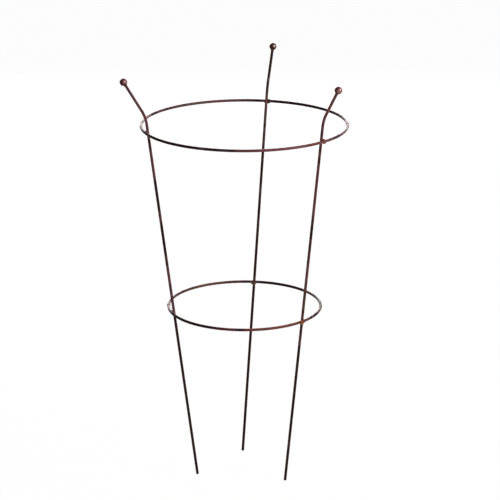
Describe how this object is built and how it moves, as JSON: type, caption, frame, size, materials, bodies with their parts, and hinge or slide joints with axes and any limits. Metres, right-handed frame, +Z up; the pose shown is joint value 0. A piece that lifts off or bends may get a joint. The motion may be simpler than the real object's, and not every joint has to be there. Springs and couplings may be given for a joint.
{
  "type": "grow through plant support",
  "caption": "Tapering garden support for stems: bent rod legs welded inside level hoops, with a ball welded on each leg's tip.",
  "frame": {"origin": "on the common axis of the two level hoops, at the level of the ground that the feet stand on", "axes": "+Z up; the picture's viewer stands on the -Y side, with +X to their right"},
  "size_m": [0.4769, 0.4839, 0.904],
  "materials": {
    "rod": "bare round bar under thin dark red-brown rust, satin",
    "ring": "bare round bar under thin dark red-brown rust with orange patches, satin",
    "ball": "bare steel ball, smooth, rust-browned",
    "weld": "rippled weld metal, rusted orange-brown"
  },
  "bodies": {
    "root": {"leg_left": "rod", "finial_ball_left": "ball", "finial_weld_left": "weld", "upper_ring_weld_left": "weld", "lower_ring_weld_left": "weld", "leg_right": "rod", "finial_ball_right": "ball", "finial_weld_right": "weld", "upper_ring_weld_right": "weld", "lower_ring_weld_right": "weld", "leg_back": "rod", "finial_ball_back": "ball", "finial_weld_back": "weld", "upper_ring_weld_back": "weld", "lower_ring_weld_back": "weld", "upper_ring": "ring", "upper_ring_seam_weld": "weld", "lower_ring": "ring", "lower_ring_seam_weld": "weld"}
  },
  "joints": []
}
